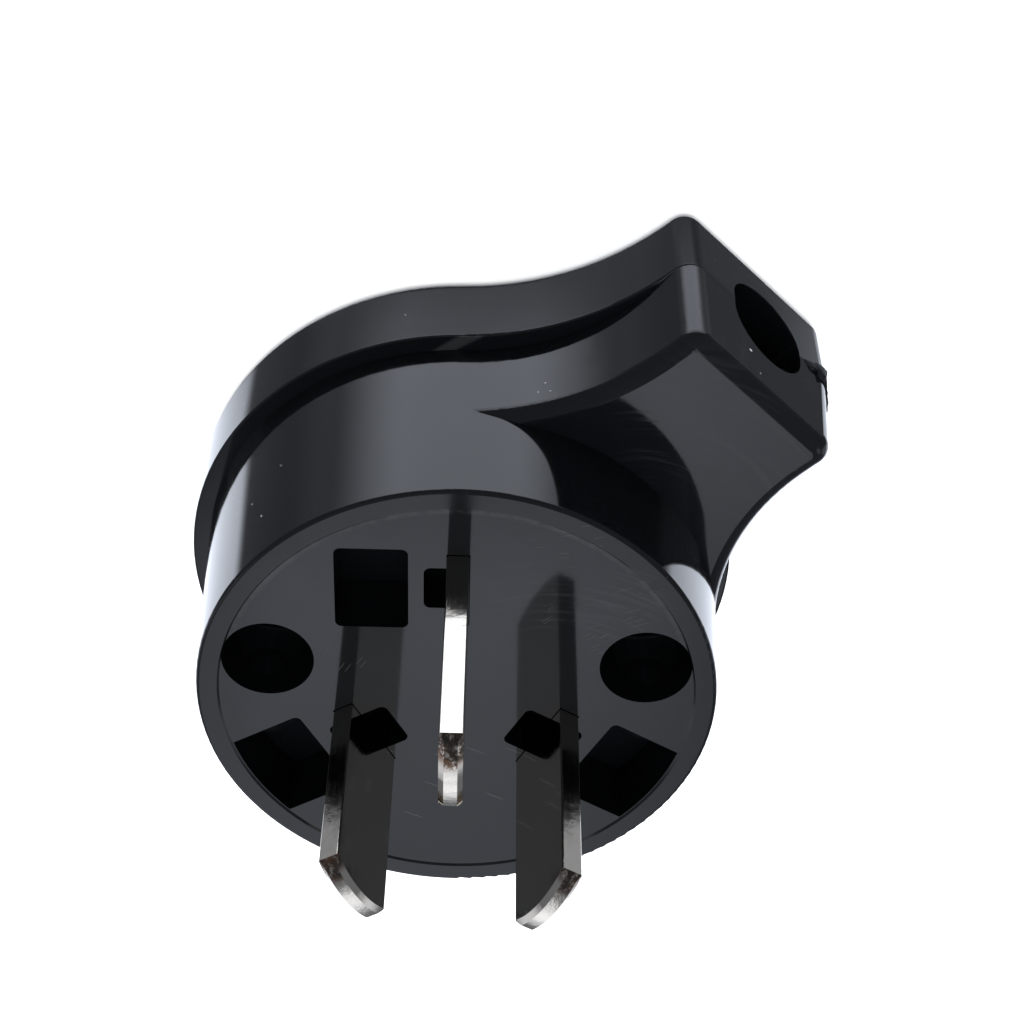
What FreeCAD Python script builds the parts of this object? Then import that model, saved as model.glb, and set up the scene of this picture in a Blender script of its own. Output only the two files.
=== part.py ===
import FreeCAD, Part
import math
import os
import re
import Sketcher
from FreeCAD import Placement, Rotation, Vector

# A rewireable three-pin plug, type I, in millimetres. The origin is on the common axis of
# the pins, in the flat back of the cover. Z points to the pin tips, Y to the earth pin.
# Angles are in degrees, measured in the XY plane from the X axis.

SIZES = [
    # Cover and base, as they show from outside
    ("cover_height", 7.6),
    ("base_height", 16.4),
    ("base_radius", 20.1),
    ("wall_draft", 2.93),
    ("face_edge_round", 0.29),
    ("disc_inset", 2.39),
    ("disc_step", 0.15),
    ("flange_overhang", 1.27),
    ("cover_back_round", 1.0),
    ("cover_front_round", 0.15),
    # Neck
    ("neck_azimuth", 46.4),
    ("neck_length", 11.75),
    ("base_neck_half", 7.95),
    ("base_flank_length", 3.31),
    ("neck_lap", 0.03),
    ("neck_block_height", 10.5),
    ("cover_neck_half", 8.0),
    ("neck_corner_round", 1.5),
    ("underside_radius", 140.0),
    ("underside_crown_inset", 14.85),
    ("underside_height", 8.15),
    ("neck_lower_round", 1.15),
    # Hollows of the two shells
    ("base_wall", 2.8),
    ("face_plate", 3.0),
    ("back_plate", 2.2),
    ("lip_wall", 1.2),
    ("lip_height", 1.2),
    ("fit_clearance", 0.2),
    ("channel_half", 3.7),
    ("channel_height", 6.3),
    ("channel_overlap", 2.6),
    ("cord_block", 6.6),
    ("cord_hole_radius", 3.65),
    ("cord_hole_rise", 0.6),
    ("cord_aside", 0.45),
    ("clamp_bay_half", 8.0),
    ("clamp_bay_overlap", 3.2),
    # Blades
    ("blade_width", 6.35),
    ("blade_thickness", 1.6),
    ("slant_pin_place", 7.92),
    ("slant_angle", 30.0),
    ("earth_pin_place", 10.31),
    ("active_reach", 16.3),
    ("neutral_reach", 17.1),
    ("earth_reach", 19.2),
    ("tip_radius", 6.35),
    ("tip_chamfer", 0.35),
    ("blade_edge_round", 0.12),
    ("bend_radius", 0.8),
    ("slant_foot_inset", 1.1),
    ("earth_foot_inset", 10.9),
    ("slot_clearance", 0.05),
    # Terminal screws and their washers
    ("slant_screw_inset", 4.8),
    ("earth_screw_inset", 13.9),
    ("terminal_shank_radius", 1.75),
    ("terminal_shank_reach", 1.6),
    ("terminal_head_radius", 3.0),
    ("terminal_head_height", 2.2),
    ("spring_washer_radius", 3.1),
    ("spring_washer_height", 0.9),
    ("spring_washer_gap", 0.5),
    ("clamp_washer_radius", 3.7),
    ("clamp_washer_height", 1.0),
    ("washer_clearance", 0.12),
    ("thread_clearance", 0.02),
    ("screw_slot_width", 0.9),
    ("screw_slot_depth", 1.0),
    # Moulded seats for the blades
    ("seat_height", 6.0),
    ("seat_half_width", 5.2),
    ("seat_inner_place", 3.9),
    ("seat_lap", 0.55),
    ("earth_seat_left_inset", 10.1),
    ("earth_seat_right", 2.2),
    ("earth_seat_low", 5.7),
    ("tip_hole_radius", 2.0),
    ("tip_hole_depth", 2.2),
    # Wells, pockets and recesses of the pin face
    ("well_inset", 6.25),
    ("well_place_up", 3.4),
    ("well_radius", 3.4),
    ("well_wall", 1.5),
    ("well_floor", 5.4),
    ("pocket_depth", 5.5),
    ("pocket_half_width", 4.0),
    ("pocket_inner", 11.32),
    ("pocket_rim", 2.6),
    ("pocket_corner", 0.5),
    ("earth_pocket_left_inset", 11.27),
    ("earth_pocket_right", 3.55),
    ("earth_pocket_low", 6.72),
    ("earth_pocket_high_inset", 6.2),
    ("side_slot_left", 2.45),
    ("side_slot_low", 8.65),
    ("side_slot_high", 12.3),
    ("side_slot_depth", 4.0),
    ("recess_half_width", 1.9),
    ("recess_outward", 2.1),
    ("recess_inward", 2.84),
    ("recess_depth", 4.5),
    # Screws and inserts that hold the cover on
    ("cover_shank_radius", 1.5),
    ("cover_shank_hole", 1.7),
    ("cover_shank_end", 3.2),
    ("cover_head_radius", 2.75),
    ("cover_head_height", 2.4),
    ("insert_radius", 2.3),
    ("insert_seat", 3.0),
    ("insert_groove", 0.35),
    ("insert_groove_half", 0.25),
    ("cover_boss_radius", 4.2),
    # Cord clamp
    ("clamp_inset", 9.05),
    ("clamp_half_width", 2.4),
    ("clamp_half_length", 7.7),
    ("clamp_thickness", 2.4),
    ("clamp_saddle_radius", 7.0),
    ("clamp_saddle_depth", 0.8),
    ("clamp_end_round", 1.0),
    ("clamp_screw_place", 5.5),
    ("clamp_screw_radius", 1.25),
    ("clamp_screw_reach", 5.0),
    ("clamp_head_radius", 2.1),
    ("clamp_head_height", 1.6),
    ("clamp_pilot_depth", 5.6),
]

LEFT = -1
RIGHT = 1

doc = FreeCAD.newDocument("type_i_plug")
sheet = doc.addObject("Spreadsheet::Sheet", "sizes")
for row, (alias, size) in enumerate(SIZES, start=1):
    sheet.set(f"A{row}", alias)
    sheet.set(f"B{row}", str(size))
    sheet.setAlias(f"B{row}", alias)
doc.recompute()

ALIASES = {alias for alias, size in SIZES}

# How far a cut runs on past the solid that it leaves
MARGIN = "1"
# A length that goes right through every piece
THROUGH = "(4 * base_radius)"
# A turn that an expression replaces: with no turn at all, the axis would be lost
UNSET_TURN = 10
# Shares of the radius of a screw's head and shank that its edges are broken by
HEAD_CROWN = 0.15
SHANK_TIP = 0.25

# Places that several pieces share, as expressions of the sizes
PARTING = "cover_height"
FACE = "(cover_height + base_height)"
SEAT = f"({FACE} - face_plate - seat_height)"
FOOT_LOW = f"({SEAT} - blade_thickness)"
COVER_RADIUS = "(base_radius + flange_overhang)"
BASE_INNER_RADIUS = "(base_radius - base_wall)"
SEAT_OUTER_RADIUS = f"({BASE_INNER_RADIUS} + seat_lap)"
LIP_OUTER_RADIUS = f"({BASE_INNER_RADIUS} - fit_clearance)"
LIP_INNER_RADIUS = f"({LIP_OUTER_RADIUS} - lip_wall)"
WELL_FLOOR = "(cover_height + well_floor)"
WELL_ACROSS = "(base_radius - well_inset)"
BOSS_RADIUS = "(well_radius + well_wall)"
CLAMP_LOW = f"({PARTING} - clamp_thickness)"
SLANT_FOOT_END = f"({BASE_INNER_RADIUS} - slant_foot_inset)"
SLANT_SCREW = f"({BASE_INNER_RADIUS} - slant_screw_inset)"
EARTH_FOOT_END = "(base_radius - earth_foot_inset)"
EARTH_SCREW = "(base_radius - earth_screw_inset)"
# Places along the neck, from the axis of the pins
NECK_END = "(base_radius + neck_length)"
BASE_FLANK_START = f"({NECK_END} - base_flank_length)"
CORD_BLOCK_START = f"({NECK_END} - cord_block)"
CLAMP_PLACE = f"({NECK_END} - clamp_inset)"
ACTIVE_AZIMUTH = "(180 + slant_angle)"
NEUTRAL_AZIMUTH = "(360 - slant_angle)"
EARTH_AZIMUTH = "180"


def linked(expression):
    """The expression with each size written as a cell of the sheet."""
    return re.sub(
        r"[A-Za-z_]+",
        lambda word: f"sizes.{word[0]}" if word[0] in ALIASES else word[0],
        str(expression),
    )


def value(expression):
    """The number that an expression of the sizes has now."""
    return float(sheet.evalExpression(linked(expression)))


def bind(item, path, expression):
    item.setExpression(path, linked(expression))


def new_body(name):
    body = doc.addObject("PartDesign::Body", name)
    body.Label = name
    body.Placement = Placement(Vector(0, 0, 0), Rotation())
    return body


def origin_plane(body, role):
    for feature in body.Origin.OriginFeatures:
        if feature.Role == role:
            return feature
    raise ValueError(role)


def flat_sketch(body, name, height, turn="0"):
    """A sketch square to Z, at a height, with its X axis turned to an azimuth."""
    sketch = body.newObject("Sketcher::SketchObject", name)
    sketch.AttachmentSupport = (origin_plane(body, "XY_Plane"), [""])
    sketch.MapMode = "FlatFace"
    sketch.AttachmentOffset = Placement(Vector(0, 0, 0), Rotation(Vector(0, 0, 1), UNSET_TURN))
    bind(sketch, "AttachmentOffset.Base.z", height)
    bind(sketch, "AttachmentOffset.Rotation.Angle", turn)
    return sketch


def upright_sketch(body, name, turn="0", toward="0"):
    """A sketch with its Y axis up along Z and its X axis turned to an azimuth.

    The plane of an unturned one may be moved toward +Y.
    """
    sketch = body.newObject("Sketcher::SketchObject", name)
    sketch.AttachmentSupport = (origin_plane(body, "XZ_Plane"), [""])
    sketch.MapMode = "FlatFace"
    sketch.AttachmentOffset = Placement(Vector(0, 0, 0), Rotation(Vector(0, 1, 0), UNSET_TURN))
    bind(sketch, "AttachmentOffset.Base.z", f"-({toward})")
    bind(sketch, "AttachmentOffset.Rotation.Angle", turn)
    return sketch


def cross_sketch(body, name, azimuth, distance):
    """An upright sketch square to a direction, at a distance along it from the Z axis."""
    sketch = upright_sketch(body, name, f"{azimuth} + 90")
    bind(sketch, "AttachmentOffset.Base.x", f"({distance}) * cos({azimuth} * 1 deg)")
    bind(sketch, "AttachmentOffset.Base.z", f"-({distance}) * sin({azimuth} * 1 deg)")
    return sketch


def pin_vertex(sketch, shape, vertex, across, up):
    for kind, expression in (("DistanceX", across), ("DistanceY", up)):
        rule = Sketcher.Constraint(kind, -1, 1, shape, vertex, value(expression))
        index = sketch.addConstraint(rule)
        bind(sketch, f"Constraints[{index}]", expression)


def set_radius(sketch, shape, radius):
    index = sketch.addConstraint(Sketcher.Constraint("Radius", shape, value(radius)))
    bind(sketch, f"Constraints[{index}]", radius)


def circle(sketch, across, up, radius):
    centre = Vector(value(across), value(up), 0)
    ring = Part.Circle(centre, Vector(0, 0, 1), value(radius))
    shape = sketch.addGeometry(ring, False)
    pin_vertex(sketch, shape, 3, across, up)
    set_radius(sketch, shape, radius)


def arc_between(start, end, radius, side):
    """An arc under half a turn, which bends to the left or right on its way."""
    chord = end - start
    sideways = Vector(-chord.y, chord.x, 0).normalize() * -side
    half = chord.Length / 2
    centre = (start + end) * 0.5 + sideways * math.sqrt(radius ** 2 - half ** 2)
    first, last = (start, end) if side == LEFT else (end, start)
    turns = [math.atan2(spot.y - centre.y, spot.x - centre.x) for spot in (first, last)]
    if turns[1] < turns[0]:
        turns[1] += 2 * math.pi
    return Part.ArcOfCircle(Part.Circle(centre, Vector(0, 0, 1), radius), *turns)


def outline(sketch, corners):
    """Draw a closed outline through its corners.

    A corner is its two places, and may have a radius and a side after them: then an arc
    leads from it to the next corner, bending to that side, and otherwise a straight line.
    """
    spots = [Vector(value(corner[0]), value(corner[1]), 0) for corner in corners]
    shapes = []
    for index, corner in enumerate(corners):
        start = spots[index]
        end = spots[(index + 1) % len(spots)]
        if len(corner) == 2:
            shape = sketch.addGeometry(Part.LineSegment(start, end), False)
            shapes.append((shape, 1, 2))
        else:
            shape = sketch.addGeometry(arc_between(start, end, value(corner[2]), corner[3]), False)
            shapes.append((shape, 1, 2) if corner[3] == LEFT else (shape, 2, 1))
    for index, corner in enumerate(corners):
        shape, start, end = shapes[index]
        following, following_start, _ = shapes[(index + 1) % len(shapes)]
        rule = Sketcher.Constraint("Coincident", shape, end, following, following_start)
        sketch.addConstraint(rule)
        pin_vertex(sketch, shape, start, corner[0], corner[1])
        if len(corner) > 2:
            set_radius(sketch, shape, corner[2])


def box_corners(left, right, low, high, rounding=None):
    """The corners of a rectangle, each rounded where a radius is given."""
    if rounding is None:
        return [(left, low), (right, low), (right, high), (left, high)]
    left, right, low, high = (f"({edge})" for edge in (left, right, low, high))
    return [
        (f"{left} + {rounding}", low),
        (f"{right} - {rounding}", low, rounding, LEFT),
        (right, f"{low} + {rounding}"),
        (right, f"{high} - {rounding}", rounding, LEFT),
        (f"{right} - {rounding}", high),
        (f"{left} + {rounding}", high, rounding, LEFT),
        (left, f"{high} - {rounding}"),
        (left, f"{low} + {rounding}", rounding, LEFT),
    ]


def pad(body, sketch, length, reversed_way=False, middle=False):
    feature = body.newObject("PartDesign::Pad", f"{sketch.Name}_pad")
    feature.Profile = sketch
    feature.Reversed = reversed_way
    feature.Midplane = middle
    bind(feature, "Length", length)
    doc.recompute()
    return feature


def pocket(body, sketch, depth, reversed_way=False, middle=False):
    """Cut the sketch away to a depth, and stop if nothing was cut."""
    before = body.Shape.Volume
    feature = body.newObject("PartDesign::Pocket", f"{sketch.Name}_pocket")
    feature.Profile = sketch
    feature.Reversed = reversed_way
    feature.Midplane = middle
    bind(feature, "Length", depth)
    doc.recompute()
    if body.Shape.Volume >= before:
        raise ValueError(f"{sketch.Name} cuts nothing")
    return feature


def revolve(body, sketch):
    feature = body.newObject("PartDesign::Revolution", f"{sketch.Name}_turned")
    feature.Profile = sketch
    feature.ReferenceAxis = (sketch, ["V_Axis"])
    feature.Angle = 360
    doc.recompute()
    return feature


def round_edges(body, name, radius, wanted, chamfer=False):
    """Round or chamfer the edges whose start, middle and end pass a test."""
    kind = "PartDesign::Chamfer" if chamfer else "PartDesign::Fillet"
    names = []
    for number, edge in enumerate(body.Shape.Edges, start=1):
        span = edge.LastParameter - edge.FirstParameter
        spots = [edge.valueAt(edge.FirstParameter + span * share) for share in (0, 0.5, 1)]
        if wanted(spots):
            names.append(f"Edge{number}")
    if not names:
        raise ValueError(f"{name} finds no edge")
    tip = body.Tip
    feature = body.newObject(kind, name)
    feature.Base = (tip, names)
    bind(feature, "Size" if chamfer else "Radius", radius)
    doc.recompute()
    return feature


def along_neck(spot):
    azimuth = math.radians(value("neck_azimuth"))
    along = spot.x * math.cos(azimuth) + spot.y * math.sin(azimuth)
    across = spot.y * math.cos(azimuth) - spot.x * math.sin(azimuth)
    return along, across


def near(first, second, reach=0.02):
    return abs(first - second) < reach


def round_neck_corners(body, name, half_width):
    """Round the two upright corners of a neck's end face."""
    least_along = value(f"{NECK_END} - neck_corner_round")
    least_across = value(f"{half_width} - neck_corner_round")

    def on_corner(spots):
        places = [along_neck(spot) for spot in spots]
        return all(along > least_along and abs(across) > least_across for along, across in places)

    round_edges(body, name, "neck_corner_round", on_corner)


# Base housing

# The neck's flank arc touches a circle just inside the wall, so that it cuts through the
# wall at a small angle. Its centre is beside the start of the straight flank.
LAP_RADIUS = "(base_radius - neck_lap)"
BASE_BLEND = (
    f"(({BASE_FLANK_START} ^ 2 + base_neck_half ^ 2 - {LAP_RADIUS} ^ 2)"
    f" / (2 * ({LAP_RADIUS} - base_neck_half)))"
)
BLEND_SHARE = f"({LAP_RADIUS} / ({LAP_RADIUS} + {BASE_BLEND}))"
BLEND_ALONG = f"({BASE_FLANK_START} * {BLEND_SHARE})"
BLEND_ACROSS = f"((base_neck_half + {BASE_BLEND}) * {BLEND_SHARE})"
UNDERSIDE_CENTRE = "(cover_height + underside_height + underside_radius)"
UNDERSIDE_START = f"({BLEND_ALONG} - {MARGIN})"
UNDERSIDE_STOP = f"({NECK_END} + {MARGIN})"
UNDERSIDE_CROWN = f"({NECK_END} - underside_crown_inset)"


def underside_level(along):
    """The height of the neck's concave underside at a place along the neck."""
    return (
        f"({UNDERSIDE_CENTRE} - sqrt(underside_radius ^ 2"
        f" - ({along} - {UNDERSIDE_CROWN}) ^ 2))"
    )


def base_neck(body):
    plan = flat_sketch(body, "neck_plan", PARTING, "neck_azimuth")
    outline(plan, [
        (BLEND_ALONG, f"-{BLEND_ACROSS}", BASE_BLEND, RIGHT),
        (BASE_FLANK_START, "-base_neck_half"),
        (NECK_END, "-base_neck_half"),
        (NECK_END, "base_neck_half"),
        (BASE_FLANK_START, "base_neck_half", BASE_BLEND, RIGHT),
        (BLEND_ALONG, BLEND_ACROSS),
    ])
    block = pad(body, plan, "neck_block_height")
    bind(block, "TaperAngle", "-wall_draft")
    doc.recompute()

    side = upright_sketch(body, "neck_underside", "neck_azimuth")
    top = f"(cover_height + neck_block_height + {MARGIN})"
    outline(side, [
        (UNDERSIDE_START, underside_level(UNDERSIDE_START), "underside_radius", LEFT),
        (UNDERSIDE_STOP, underside_level(UNDERSIDE_STOP)),
        (UNDERSIDE_STOP, top),
        (UNDERSIDE_START, top),
    ])
    pocket(body, side, THROUGH, middle=True)

    round_neck_corners(body, "base_neck_corners", "base_neck_half")

    # The root edge, which the round wall swallows, stays sharp
    root = value(f"{BLEND_ALONG} + neck_lower_round")

    def on_lower_edge(spots):
        levels = [value(underside_level(round(along_neck(spot)[0], 6))) for spot in spots]
        low = all(near(spot.z, level) for spot, level in zip(spots, levels))
        return low and along_neck(spots[1])[0] > root

    round_edges(body, "neck_lower_edges", "neck_lower_round", on_lower_edge)


def base_round(body):
    """The drafted round wall, its face edge and the finely sunk disc of the pin face."""
    profile = upright_sketch(body, "base_profile")
    draft = "(wall_draft * 1 deg)"
    face_radius = f"(base_radius - base_height * tan{draft})"
    # How far from their corner the edge round leaves the wall and the face
    run = "(face_edge_round / tan(45 deg + wall_draft / 2 * 1 deg))"
    outline(profile, [
        ("0", PARTING),
        ("base_radius", PARTING),
        (
            f"{face_radius} + {run} * sin{draft}",
            f"{FACE} - {run} * cos{draft}",
            "face_edge_round",
            LEFT,
        ),
        (f"{face_radius} - {run}", FACE),
        ("base_radius - disc_inset", FACE),
        ("base_radius - disc_inset - disc_step", f"{FACE} - disc_step"),
        ("0", f"{FACE} - disc_step"),
    ])
    revolve(body, profile)


def base_hollows(body):
    cavity = flat_sketch(body, "base_cavity", PARTING)
    circle(cavity, "0", "0", BASE_INNER_RADIUS)
    pocket(body, cavity, "base_height - face_plate", reversed_way=True)

    channel = flat_sketch(body, "cord_channel", PARTING, "neck_azimuth")
    outline(channel, box_corners(
        f"{BASE_INNER_RADIUS} - channel_overlap",
        CORD_BLOCK_START,
        "-channel_half - cord_aside",
        "channel_half - cord_aside",
    ))
    pocket(body, channel, "channel_height", reversed_way=True)

    hole = cross_sketch(body, "base_cord_hole", "neck_azimuth", f"{CORD_BLOCK_START} - {MARGIN}")
    circle(hole, "-cord_aside", f"{PARTING} + cord_hole_rise", "cord_hole_radius")
    pocket(body, hole, f"cord_block + 2 * {MARGIN}", reversed_way=True)

    pilots = flat_sketch(body, "clamp_pilots", PARTING, "neck_azimuth")
    for side in (LEFT, RIGHT):
        radius = "clamp_screw_radius + thread_clearance"
        circle(pilots, CLAMP_PLACE, f"{side} * clamp_screw_place", radius)
    pocket(body, pilots, "clamp_pilot_depth", reversed_way=True)


def base_seats(body):
    """The blocks that the blades stand in, and the bosses round the two wells."""
    plate = f"({FACE} - face_plate)"
    for name, azimuth in (("active", ACTIVE_AZIMUTH), ("neutral", NEUTRAL_AZIMUTH)):
        seat = flat_sketch(body, f"{name}_seat", SEAT, azimuth)
        outline(seat, box_corners(
            "seat_inner_place", SEAT_OUTER_RADIUS, "-seat_half_width", "seat_half_width"
        ))
        pad(body, seat, f"{plate} - {SEAT}")
    seat = flat_sketch(body, "earth_seat", SEAT)
    left = "(base_radius - earth_seat_left_inset)"
    outline(seat, [
        (f"-{left}", "earth_seat_low"),
        ("earth_seat_right", "earth_seat_low"),
        (
            "earth_seat_right",
            f"sqrt({SEAT_OUTER_RADIUS} ^ 2 - earth_seat_right ^ 2)",
            SEAT_OUTER_RADIUS,
            LEFT,
        ),
        (f"-{left}", f"sqrt({SEAT_OUTER_RADIUS} ^ 2 - {left} ^ 2)"),
    ])
    pad(body, seat, f"{plate} - {SEAT}")

    bosses = flat_sketch(body, "well_bosses", PARTING)
    for side in (LEFT, RIGHT):
        circle(bosses, f"{side} * {WELL_ACROSS}", "well_place_up", BOSS_RADIUS)
    pad(body, bosses, f"{plate} - {PARTING}")


def base_wells(body):
    wells = flat_sketch(body, "wells", WELL_FLOOR)
    holes = flat_sketch(body, "cover_screw_holes", PARTING)
    for side in (LEFT, RIGHT):
        place = f"{side} * {WELL_ACROSS}"
        circle(wells, place, "well_place_up", "well_radius")
        circle(holes, place, "well_place_up", "cover_shank_hole")
    pocket(body, wells, f"{FACE} - {WELL_FLOOR} + {MARGIN}", reversed_way=True)
    pocket(body, holes, f"well_floor + {MARGIN}", reversed_way=True)


def blade_opening(body, name, azimuth, place, aside):
    """The slot that a blade passes, and the relief for the bend of its foot."""
    half_thick = "(blade_thickness / 2 + slot_clearance)"
    half_wide = "(blade_width / 2 + slot_clearance)"
    slot = flat_sketch(body, f"{name}_slot", SEAT, azimuth)
    outline(slot, box_corners(
        f"{place} - {half_thick}",
        f"{place} + {half_thick}",
        f"{aside} - {half_wide}",
        f"{aside} + {half_wide}",
    ))
    pocket(body, slot, f"{FACE} - {SEAT} + {MARGIN}", reversed_way=True)
    relief = flat_sketch(body, f"{name}_bend_relief", SEAT, azimuth)
    outline(relief, box_corners(
        place,
        f"{place} + {half_thick} + bend_radius",
        f"{aside} - {half_wide}",
        f"{aside} + {half_wide}",
    ))
    pocket(body, relief, "bend_radius + slot_clearance", reversed_way=True)


def tip_hole(body, name, azimuth, place, aside):
    """The clearance hole for the tip of a terminal screw."""
    sketch = flat_sketch(body, f"{name}_tip_hole", SEAT, azimuth)
    circle(sketch, place, aside, "tip_hole_radius")
    pocket(body, sketch, "tip_hole_depth", reversed_way=True)


def face_pockets(body):
    floor = f"({FACE} - pocket_depth)"
    rim = "(base_radius - pocket_rim)"
    outer = f"sqrt({rim} ^ 2 - pocket_half_width ^ 2)"
    for name, azimuth in (("active", ACTIVE_AZIMUTH), ("neutral", NEUTRAL_AZIMUTH)):
        sketch = flat_sketch(body, f"{name}_pocket", floor, azimuth)
        outline(sketch, [
            ("pocket_inner + pocket_corner", "-pocket_half_width"),
            (outer, "-pocket_half_width", rim, LEFT),
            (outer, "pocket_half_width"),
            ("pocket_inner + pocket_corner", "pocket_half_width", "pocket_corner", LEFT),
            ("pocket_inner", "pocket_half_width - pocket_corner"),
            ("pocket_inner", "pocket_corner - pocket_half_width", "pocket_corner", LEFT),
        ])
        pocket(body, sketch, f"pocket_depth + {MARGIN}", reversed_way=True)

        recess = flat_sketch(body, f"{name}_recess", f"{FACE} - recess_depth", azimuth)
        outline(recess, box_corners(
            "slant_pin_place - recess_inward",
            "slant_pin_place + recess_outward",
            "-recess_half_width",
            "recess_half_width",
            "pocket_corner",
        ))
        pocket(body, recess, f"recess_depth + {MARGIN}", reversed_way=True)

    sketch = flat_sketch(body, "earth_pocket", floor)
    outline(sketch, box_corners(
        "earth_pocket_left_inset - base_radius",
        "-earth_pocket_right",
        "earth_pocket_low",
        "base_radius - earth_pocket_high_inset",
        "pocket_corner",
    ))
    pocket(body, sketch, f"pocket_depth + {MARGIN}", reversed_way=True)

    slot = flat_sketch(body, "earth_side_slot", f"{FACE} - side_slot_depth")
    outline(slot, box_corners(
        "-side_slot_left", "0", "side_slot_low", "side_slot_high", "pocket_corner"
    ))
    pocket(body, slot, f"side_slot_depth + {MARGIN}", reversed_way=True)


def base_housing():
    body = new_body("base_housing")
    base_neck(body)
    base_round(body)
    base_hollows(body)
    base_seats(body)
    base_wells(body)
    for name, azimuth in (("active", ACTIVE_AZIMUTH), ("neutral", NEUTRAL_AZIMUTH)):
        blade_opening(body, name, azimuth, "slant_pin_place", "0")
        tip_hole(body, name, azimuth, SLANT_SCREW, "0")
    blade_opening(body, "earth", EARTH_AZIMUTH, "0", "-earth_pin_place")
    tip_hole(body, "earth", EARTH_AZIMUTH, EARTH_SCREW, "-earth_pin_place")
    face_pockets(body)
    return body


# Cover

# Each flank is one arc that touches the round rim and meets the end face squarely
COVER_BLEND = (
    f"(({NECK_END} ^ 2 + cover_neck_half ^ 2 - {COVER_RADIUS} ^ 2)"
    f" / (2 * ({COVER_RADIUS} - cover_neck_half)))"
)
COVER_SHARE = f"({COVER_RADIUS} / ({COVER_RADIUS} + {COVER_BLEND}))"
COVER_ALONG = f"({NECK_END} * {COVER_SHARE})"
COVER_ACROSS = f"((cover_neck_half + {COVER_BLEND}) * {COVER_SHARE})"


def cover():
    body = new_body("cover")
    plan = flat_sketch(body, "cover_plan", "0", "neck_azimuth")
    outline(plan, [
        (f"-{COVER_RADIUS}", "0", COVER_RADIUS, LEFT),
        (COVER_ALONG, f"-{COVER_ACROSS}", COVER_BLEND, RIGHT),
        (NECK_END, "-cover_neck_half"),
        (NECK_END, "cover_neck_half", COVER_BLEND, RIGHT),
        (COVER_ALONG, COVER_ACROSS, COVER_RADIUS, LEFT),
    ])
    pad(body, plan, "cover_height")

    round_neck_corners(body, "cover_neck_corners", "cover_neck_half")
    for name, radius, level in (
        ("cover_back_edge", "cover_back_round", 0),
        ("cover_front_edge", "cover_front_round", value("cover_height")),
    ):
        round_edges(body, name, radius, lambda spots: all(near(spot.z, level) for spot in spots))

    cavity = flat_sketch(body, "cover_cavity", "back_plate")
    circle(cavity, "0", "0", LIP_INNER_RADIUS)
    pocket(body, cavity, f"cover_height - back_plate + {MARGIN}", reversed_way=True)

    bay = flat_sketch(body, "clamp_bay", "back_plate", "neck_azimuth")
    start = f"({LIP_INNER_RADIUS} - clamp_bay_overlap)"
    outline(bay, box_corners(start, CORD_BLOCK_START, "-clamp_bay_half", "clamp_bay_half"))
    pocket(body, bay, f"cover_height - back_plate + {MARGIN}", reversed_way=True)

    lip = flat_sketch(body, "locating_lip", "cover_height")
    circle(lip, "0", "0", LIP_OUTER_RADIUS)
    circle(lip, "0", "0", LIP_INNER_RADIUS)
    pad(body, lip, "lip_height")
    gaps = flat_sketch(body, "lip_gaps", "cover_height")
    for side in (LEFT, RIGHT):
        place = f"{side} * {WELL_ACROSS}"
        circle(gaps, place, "well_place_up", f"{BOSS_RADIUS} + fit_clearance")
    pocket(body, gaps, f"lip_height + {MARGIN}", reversed_way=True)
    gate = flat_sketch(body, "lip_cord_gap", "cover_height", "neck_azimuth")
    outline(gate, box_corners(
        start, COVER_RADIUS, "-clamp_bay_half", "clamp_bay_half"
    ))
    pocket(body, gate, f"lip_height + {MARGIN}", reversed_way=True)

    bosses = flat_sketch(body, "cover_bosses", "back_plate")
    bores = flat_sketch(body, "insert_bores", "insert_seat")
    for side in (LEFT, RIGHT):
        place = f"{side} * {WELL_ACROSS}"
        circle(bosses, place, "well_place_up", "cover_boss_radius")
        circle(bores, place, "well_place_up", "insert_radius + thread_clearance")
    pad(body, bosses, "cover_height - back_plate")
    pocket(body, bores, f"cover_height - insert_seat + {MARGIN}", reversed_way=True)

    hole = cross_sketch(body, "cover_cord_hole", "neck_azimuth", f"{CORD_BLOCK_START} - {MARGIN}")
    circle(hole, "-cord_aside", f"{PARTING} - cord_hole_rise", "cord_hole_radius")
    pocket(body, hole, f"cord_block + 2 * {MARGIN}", reversed_way=True)
    return body


# Blades

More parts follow.
